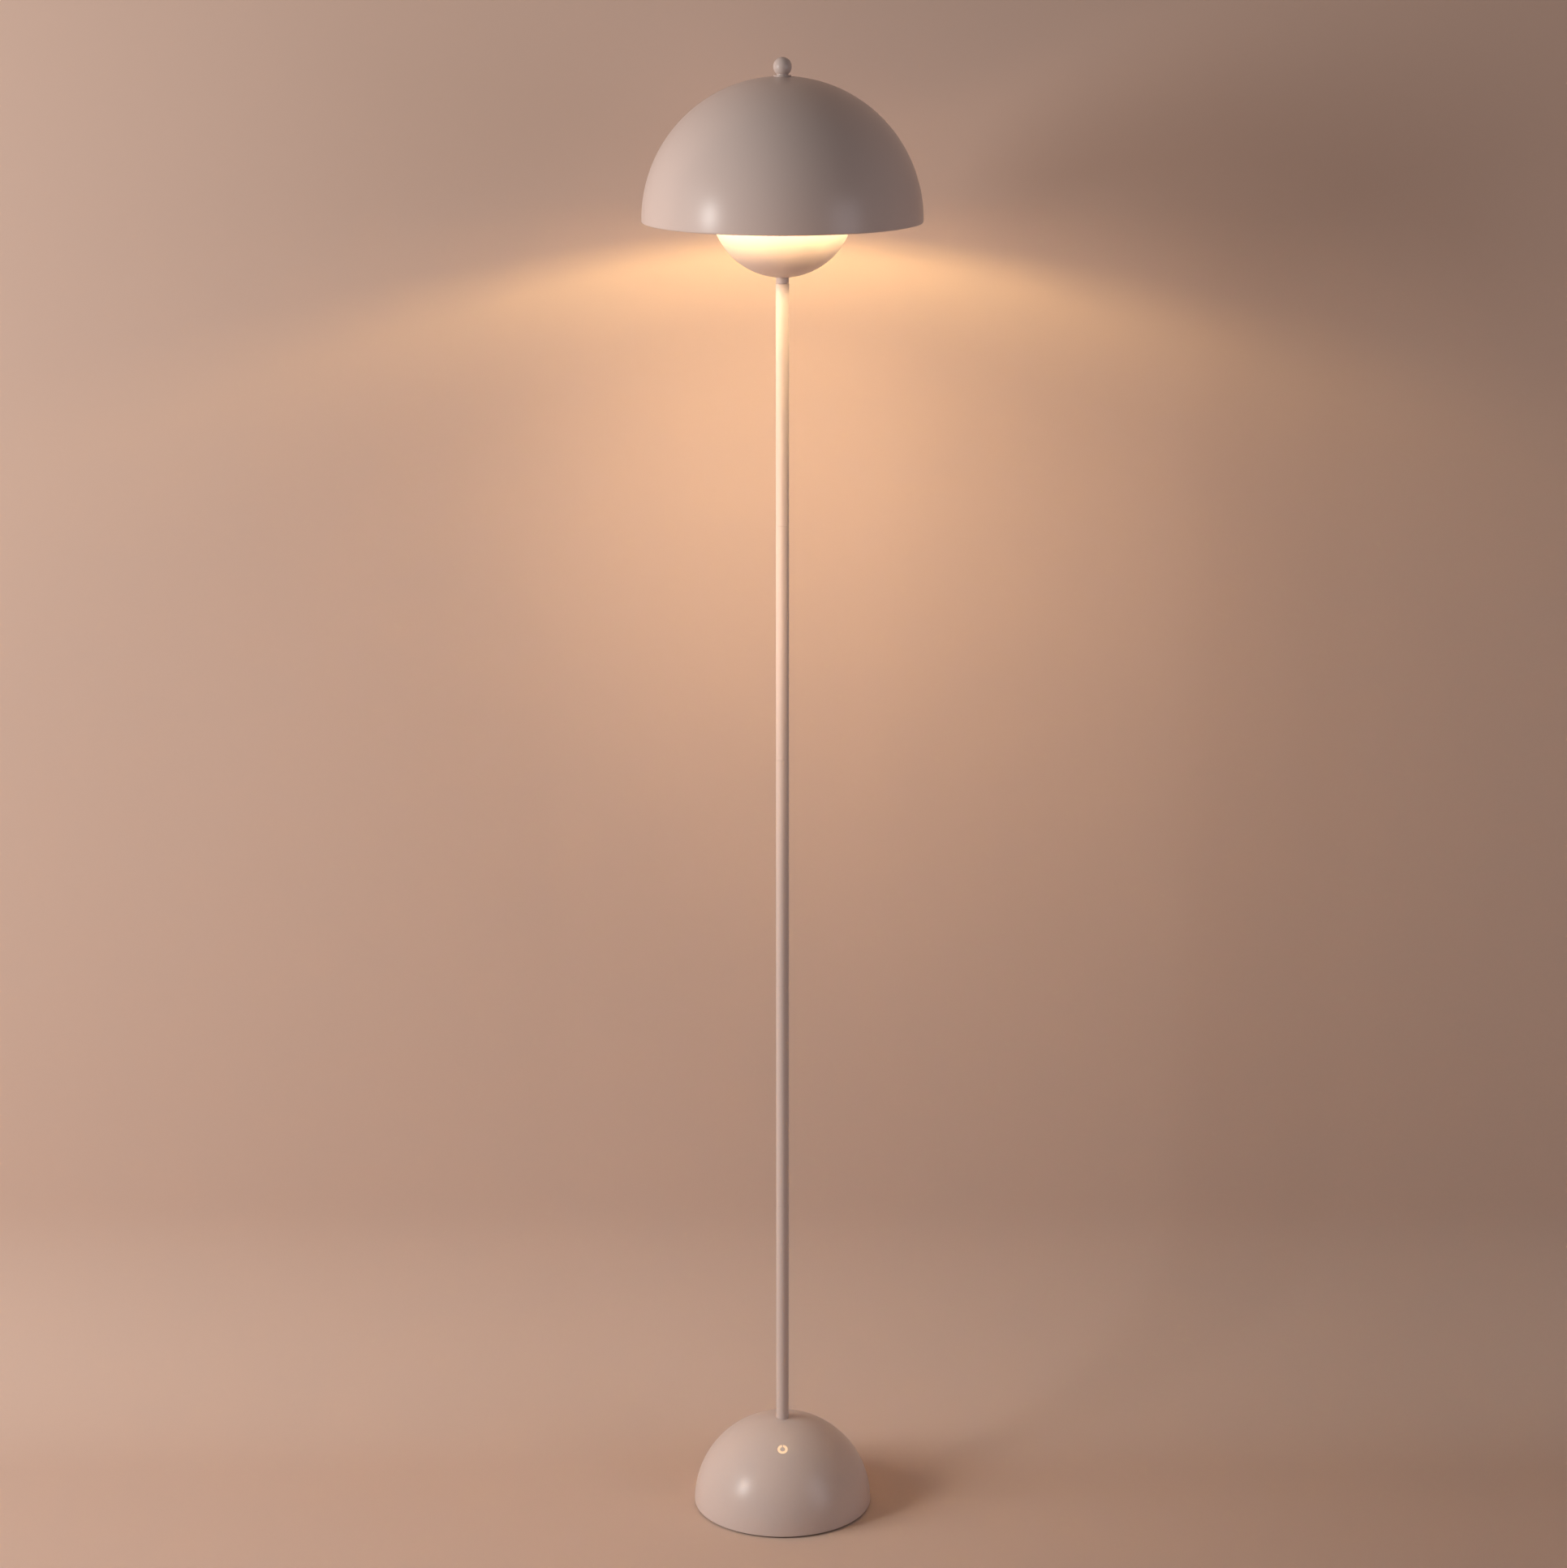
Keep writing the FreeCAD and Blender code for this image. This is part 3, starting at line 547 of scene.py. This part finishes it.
for number in range(1, 6):
    node = "pole_section_%d" % number
    low, high = (corner.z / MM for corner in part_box(node))
    outline = tube_outline(POLE_RADIUS, POLE_RADIUS - POLE_WALL, low, high, SEAM_CHAMFER)
    tube = turned("pole_tube_%d" % number, outline, TURN_SIDES, [greige])
    place(tube, "lamp", "satin_paint", node)
dress(zinc, "pole_coupler_1", "pole_coupler_2", "pole_coupler_3", "pole_coupler_4", "head_nipple")

# --- Neck collar ---
# A short turned collar, a little slimmer than the pole, that spaces the bowl off its last tube.
# It has the same coat, and it stands in the bowl's shadow.
COLLAR_RADIUS = 5.7
COLLAR_CHAMFER = 0.4
low, high = (corner.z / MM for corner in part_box("neck_collar"))
outline = tube_outline(COLLAR_RADIUS, THREAD_RADIUS + 0.05, low, high, COLLAR_CHAMFER)
collar = turned("neck_collar_turned", outline, TURN_SIDES, [greige])
place(collar, "lamp", "satin_paint", "neck_collar")

# --- Bowl ---
# A half-round bowl spun from 1 mm aluminium, greige outside and reflector white inside, open side
# up. It carries the light, and its outside catches what the shade throws back down.
BOWL_RADIUS = 64.0
BOWL_WALL = 1.0
BOWL_SIDES = 192
white = plain_finish("reflector_white_enamel", "F2EFE8", "EDE9E1", 30.0, 1.4, 0.004, 0.42)
bowl_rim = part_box("bowl")[1].z / MM
outline, inside = spun_shell(BOWL_RADIUS, BOWL_WALL, 0.0, 0.0, BOLT_HOLE, bowl_rim, -1)
bowl = turned("bowl_spun", outline, BOWL_SIDES, [greige, white], inside)
place(bowl, "lamp", "satin_paint", "bowl")
dress(zinc, "bowl_washer", "bowl_nut", "bowl_tabs", "led_plate_screws")

# --- Light: plate, board, LEDs and diffuser ---
# An aluminium plate spreads the heat of a white board with a ring of surface-mount LEDs. A disc of
# opal acrylic over them is what glows, and it sends all its light up into the shade.
LED_COUNT = 24
LED_CIRCLE = 30.0
LED_LONG = 3.5
LED_WIDE = 2.8
LED_EDGE = 0.12
DIFFUSER_EDGE = 0.4
DIFFUSER_SIDES = 128
aluminium = plain_finish("aluminium_sheet_mill", "C9CACC", "BDBEC1", 18.0, 0.5, 0.006, 0.33, 1.0)
solder_mask = plain_finish("white_solder_mask", "E9E9E4", "E1E1DB", 12.0, 0.8, 0.01, 0.35)
dress(aluminium, "led_plate")
dress(solder_mask, "led_board")


def phosphor():
    """The silicone gel over an LED: yellow, rubbery and lit through."""
    material, tree, place = new_finish("led_phosphor_gel")
    cloud = add_node(tree, "ShaderNodeTexNoise", {
        "Vector": place, "Scale": 1 / (0.6 * MM), "Detail": 1.0})
    tone = add_node(tree, "ShaderNodeMix", {
        "Factor": cloud.outputs["Fac"], 6: linear("F2C64E"), 7: linear("E8B53A")}, data_type="RGBA")
    shader = add_node(tree, "ShaderNodeBsdfPrincipled", {
        "Base Color": tone.outputs[2], "Roughness": 0.3, "IOR": 1.41,
        "Emission Color": linear("FFD08A"), "Emission Strength": 2.0})
    add_node(tree, "ShaderNodeOutputMaterial", {"Surface": shader.outputs["BSDF"]})
    return material


gel = phosphor()


def led(bottom, top):
    """One LED: a rectangular body whose edges are broken."""
    x, y = LED_LONG / 2, LED_WIDE / 2
    body = prism("led", [(-x, -y), (x, -y), (x, y), (-x, y)], bottom, top, gel)
    work = bmesh.new()
    work.from_mesh(body.data)
    bmesh.ops.bevel(work, geom=work.edges[:], offset=LED_EDGE * MM, segments=1, affect="EDGES")
    work.to_mesh(body.data)
    work.free()
    return body


low, high = (corner.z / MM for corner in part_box("led_chips"))
chips = spread("led_ring", led(low, high), LED_COUNT, LED_CIRCLE, 0, gel)
place(chips, "lamp", "led_phosphor", "led_chips")
dress(gel, "button_leds")


def opal_acrylic():
    """Opal acrylic lit from below: brightest over the LEDs, softer to the middle and rim."""
    material, tree, place = new_finish("opal_acrylic_lit")
    parts = add_node(tree, "ShaderNodeSeparateXYZ", {"Vector": place})
    flat = add_node(tree, "ShaderNodeCombineXYZ", {
        "X": parts.outputs["X"], "Y": parts.outputs["Y"]})
    radius = add_node(tree, "ShaderNodeVectorMath", {0: flat.outputs[0]}, operation="LENGTH")
    off = add_node(tree, "ShaderNodeMath", {
        0: radius.outputs["Value"], 1: LED_CIRCLE * MM}, operation="SUBTRACT")
    far = add_node(tree, "ShaderNodeMath", {0: off.outputs[0]}, operation="ABSOLUTE")
    share = add_node(tree, "ShaderNodeMapRange", {
        "Value": far.outputs[0], "From Min": 0.0, "From Max": 34 * MM},
        interpolation_type="SMOOTHSTEP")
    glow = add_node(tree, "ShaderNodeMix", {
        "Factor": share.outputs["Result"], 6: linear("FFE3B4"), 7: linear("F3C98C")},
        data_type="RGBA")
    shader = add_node(tree, "ShaderNodeBsdfPrincipled", {
        "Base Color": linear("EDE4D4"), "Roughness": 0.4, "IOR": 1.49,
        "Emission Color": glow.outputs[2], "Emission Strength": 6.5})
    add_node(tree, "ShaderNodeOutputMaterial", {"Surface": shader.outputs["BSDF"]})
    return material


low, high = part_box("diffuser")
outline = rounded_ring(high.x / MM, POLE_RADIUS + 0.1, low.z / MM, high.z / MM, DIFFUSER_EDGE)
diffuser = turned("diffuser_disc", outline, DIFFUSER_SIDES, [opal_acrylic()])
place(diffuser, "lamp", "opal_acrylic", "diffuser")

# --- Centre tube and shade ---
# A tube on the bowl's nut holds the shade: a half-round dome spun from 1 mm aluminium, greige
# outside and reflector white inside, with a straight skirt and a hem folded inside its rim.
SHADE_RADIUS = 125.0
SHADE_WALL = 1.0
SHADE_SKIRT = 1.8
SHADE_HEM = 4.0
SHADE_SIDES = 256
STUD_HOLE = 3.15
LEAD_HOLE_RADIUS = 2.4
LEAD_HOLE_HEIGHT = 18.0
low, high = (corner.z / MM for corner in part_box("centre_tube"))
outline = tube_outline(POLE_RADIUS, POLE_RADIUS - POLE_WALL, low, high, SEAM_CHAMFER)
centre_tube = turned("centre_tube_coated", outline, TURN_SIDES, [white])
side_hole = turned("side_hole", [
    (0, 0), (LEAD_HOLE_RADIUS, 0), (LEAD_HOLE_RADIUS, 9), (0, 9)], 40, [white])
side_hole.data.transform(Matrix.Translation((0, 0, (low + LEAD_HOLE_HEIGHT) * MM))
                         @ Matrix.Rotation(math.radians(90), 4, "Y"))
carve(centre_tube, side_hole)
centre_tube.data.set_sharp_from_angle(angle=SHARP_ANGLE)
place(centre_tube, "lamp", "satin_paint", "centre_tube")
dress(zinc, "shade_stud", "shade_support")
shade_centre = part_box("shade")[0].z / MM + SHADE_SKIRT
outline, inside = spun_shell(
    SHADE_RADIUS, SHADE_WALL, SHADE_SKIRT, SHADE_HEM, STUD_HOLE, shade_centre)
shade = turned("shade_spun", outline, SHADE_SIDES, [greige, white], inside)
place(shade, "lamp", "satin_paint", "shade")

# --- Ball finial and its washer ---
# A turned ball on a short neck screws down on the stud and clamps the shade over a thin washer.
# Both have the shade's coat, and the ball picks up the key light as one small soft highlight.
FINIAL_RADIUS = 8.2
NECK_RADIUS = 5.25
BALL_BORE = 3.0
BALL_BORE_DEPTH = 9.1
WASHER_EDGE = 0.35
low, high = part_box("finial_washer")
outline = rounded_ring(high.x / MM, STUD_HOLE, low.z / MM, high.z / MM, WASHER_EDGE)
washer = turned("finial_washer_disc", outline, TURN_SIDES, [greige])
place(washer, "lamp", "satin_paint", "finial_washer")
low, high = (corner.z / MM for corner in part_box("finial_ball"))
ball_centre = high - FINIAL_RADIUS
join = math.degrees(math.acos(NECK_RADIUS / FINIAL_RADIUS))
bore_top = low + BALL_BORE_DEPTH
outline = [(BALL_BORE, low), (NECK_RADIUS, low)]
outline += arc((0, ball_centre), FINIAL_RADIUS, -join, 90, 40)[:-1]
outline += [(0, high), (0, bore_top), (BALL_BORE, bore_top)]
ball = turned("finial_ball_turned", outline, TURN_SIDES, [greige])
place(ball, "finial", "satin_paint", "finial_ball")

# --- Studio ---
# A pale floor that sweeps up into a pale wall close behind the lamp, with painted shade that makes
# it a little darker to the right. A soft key from the left, a small lamp for highlights, weak
# fills, and the lamp's light.
WALL_Y = 0.27
COVE = 0.2
FLOOR_LEVEL = -0.0004
BACKDROP_LIGHT = "D3B7A7"
BACKDROP_CLOUD = "D0B3A2"
# The backdrop's tone on its right side is painted shade.
BACKDROP_PAINTED_SHADE = "BFA494"


def backdrop(name, fade_axes, near, far):
    """Matt painted backdrop, clear from behind and faded out past what the photo shows."""
    material, tree, place = new_finish(name)
    cloud = add_node(tree, "ShaderNodeTexNoise", {"Vector": place, "Scale": 1.5, "Detail": 2.0})
    tone = add_node(tree, "ShaderNodeMix", {
        "Factor": cloud.outputs["Fac"], 6: linear(BACKDROP_LIGHT), 7: linear(BACKDROP_CLOUD)},
        data_type="RGBA")
    parts = add_node(tree, "ShaderNodeSeparateXYZ", {"Vector": place})
    # Painted shade: the tone turns darker towards the right, between x = -0.1 m and 0.75 m.
    painted_shade_to_right = add_node(tree, "ShaderNodeMapRange", {
        "Value": parts.outputs["X"], "From Min": -0.1, "From Max": 0.75},
        interpolation_type="SMOOTHSTEP")
    tone_with_painted_shade = add_node(tree, "ShaderNodeMix", {
        "Factor": painted_shade_to_right.outputs["Result"], 6: tone.outputs[2], 7: linear(BACKDROP_PAINTED_SHADE)},
        data_type="RGBA")
    matt = add_node(tree, "ShaderNodeBsdfDiffuse", {"Color": tone_with_painted_shade.outputs[2]})
    path = add_node(tree, "ShaderNodeLightPath")
    back = add_node(tree, "ShaderNodeNewGeometry").outputs["Backfacing"]
    weighed = add_node(tree, "ShaderNodeVectorMath", {0: place, 1: fade_axes}, operation="MULTIPLY")
    reach = add_node(tree, "ShaderNodeVectorMath", {0: weighed.outputs[0]}, operation="LENGTH")
    fade = add_node(tree, "ShaderNodeMapRange", {
        "Value": reach.outputs["Value"], "From Min": near, "From Max": far},
        interpolation_type="SMOOTHSTEP")
    hidden = add_node(tree, "ShaderNodeMath", {
        0: back, 1: fade.outputs["Result"]}, operation="MAXIMUM")
    clear_here = add_node(tree, "ShaderNodeMath", {
        0: hidden.outputs[0], 1: path.outputs["Is Camera Ray"]}, operation="MULTIPLY")
    clear = add_node(tree, "ShaderNodeBsdfTransparent")
    mix = add_node(tree, "ShaderNodeMixShader", {
        0: clear_here.outputs[0], 1: matt.outputs[0], 2: clear.outputs[0]})
    add_node(tree, "ShaderNodeOutputMaterial", {"Surface": mix.outputs[0]})
    return material


def sheet(name, sections, left, right, material):
    """A backdrop sheet: points (y, z) in metres swept from x = left to x = right."""
    mesh = bpy.data.meshes.new(name)
    points = [(x, y, z) for y, z in sections for x in (left, right)]
    faces = [(2 * i, 2 * i + 1, 2 * i + 3, 2 * i + 2) for i in range(len(sections) - 1)]
    mesh.from_pydata(points, [], faces)
    for face in mesh.polygons:
        face.use_smooth = True
    mesh.materials.append(material)
    piece = bpy.data.objects.new(name, mesh)
    bpy.context.collection.objects.link(piece)
    return piece


cove = [(WALL_Y - COVE + COVE * math.sin(math.radians(a)), COVE - COVE * math.cos(math.radians(a)))
        for a in range(0, 91, 5)]
sheet("floor", [(-30, FLOOR_LEVEL), (0.1, FLOOR_LEVEL)], -30, 30,
      backdrop("backdrop_floor", (1, 1, 0), 1.3, 2.3))
sheet("sweep", [(-2.5, 0.0)] + cove + [(WALL_Y, 2.8)], -1.6, 2.6,
      backdrop("backdrop_sweep", (1.0, 0.45, 0.55), 1.25, 1.5))


def area_light(name, place, aim, wide, high, watts, colour, shape="RECTANGLE"):
    """A soft light at a place, turned to face a point."""
    lamp = bpy.data.lights.new(name, "AREA")
    lamp.shape = shape
    lamp.size = wide
    lamp.size_y = high
    lamp.energy = watts
    lamp.color = linear(colour)[:3]
    holder = bpy.data.objects.new(name, lamp)
    bpy.context.collection.objects.link(holder)
    holder.location = place
    holder.rotation_euler = (Vector(aim) - Vector(place)).to_track_quat("-Z", "Y").to_euler()
    holder.visible_camera = False
    return holder


# The key shows no reflection of itself. The small lamp beside it draws the highlight on base, shade
# and ball.
key = area_light("key_window", (-2.80, -0.70, 1.50), (0, 0, 0.75), 1.4, 1.9, 54.0, "FFFFFF")
key.visible_glossy = False
area_light("shine", (-2.52, -1.45, 1.45), (0, 0, 0.75), 0.45, 0.95, 25.0, "FFFDFA", "ELLIPSE")
area_light("right_fill", (1.9, -1.5, 1.1), (0, 0, 0.8), 1.0, 1.6, 9.0, "F6F2FC")
# A warm light at the left front stands for the lamp's light that the room throws back on the pole.
pole_glow = area_light(
    "pole_glow", (-0.24, -0.34, 0.93), (0, 0, 0.92), 0.22, 0.22, 0.32, "FFDDB8", "DISK")
pole_glow.visible_glossy = False
pole_glow.data.spread = math.radians(85)
# The lamp's own light: a ring of lights inside the shade's rim for what its white inside throws
# back down, and a ring round the centre tube for what leaves between the rims of bowl and shade.
GLOW_LIGHTS = 12
SPILL_LIGHTS = 8
GLOW_CIRCLE = 0.95 * SHADE_RADIUS
SPILL_CIRCLE = 24
GLOW_RISE = 20
SPILL_RISE = 14


def around(number, count):
    """The direction of one of `count` lights round Z, as a flat vector one millimetre long."""
    angle = 2 * math.pi * (number + 0.5) / count
    return math.cos(angle) * MM, math.sin(angle) * MM


for number in range(GLOW_LIGHTS):
    x, y = around(number, GLOW_LIGHTS)
    area_light("glow_light_%d" % number,
               (GLOW_CIRCLE * x, GLOW_CIRCLE * y, (shade_centre + GLOW_RISE) * MM),
               (0, 0, shade_centre * MM), 0.052, 0.026, 0.058, "FFE9C4")
for number in range(SPILL_LIGHTS):
    x, y = around(number, SPILL_LIGHTS)
    area_light("spill_light_%d" % number,
               (SPILL_CIRCLE * x, SPILL_CIRCLE * y, (bowl_rim + SPILL_RISE) * MM),
               (200 * x, 200 * y, (bowl_rim - 30) * MM), 0.018, 0.024, 0.62, "FFE098")

world = bpy.data.worlds.new("studio_air")
bpy.context.scene.world = world
world.use_nodes = True
world.node_tree.nodes.clear()
air = add_node(world.node_tree, "ShaderNodeLightPath").outputs["Is Camera Ray"]
shown = add_node(world.node_tree, "ShaderNodeBackground", {
    "Color": linear("C8AD9C"), "Strength": 1.0})
fill = add_node(world.node_tree, "ShaderNodeBackground", {
    "Color": linear("F4EEEA"), "Strength": 0.15})
both = add_node(world.node_tree, "ShaderNodeMixShader", {
    0: air, 1: fill.outputs[0], 2: shown.outputs[0]})
add_node(world.node_tree, "ShaderNodeOutputWorld", {"Surface": both.outputs[0]})
bpy.context.scene.view_settings.view_transform = "Standard"

# --- Camera ---
# A long lens 3.2 m in front of the lamp and a little above its top, tipped 14.4 degrees down, as
# found from the outlines of the shade, bowl, pole joints and base.
camera = bpy.data.objects.new("camera", bpy.data.cameras.new("camera"))
bpy.context.collection.objects.link(camera)
camera.location = (0.0009, -3.2467, 1.5496)
camera.rotation_euler = (math.radians(90 - 14.395), 0, 0)
camera.data.sensor_width = 36
camera.data.lens = 83.556
bpy.context.scene.camera = camera
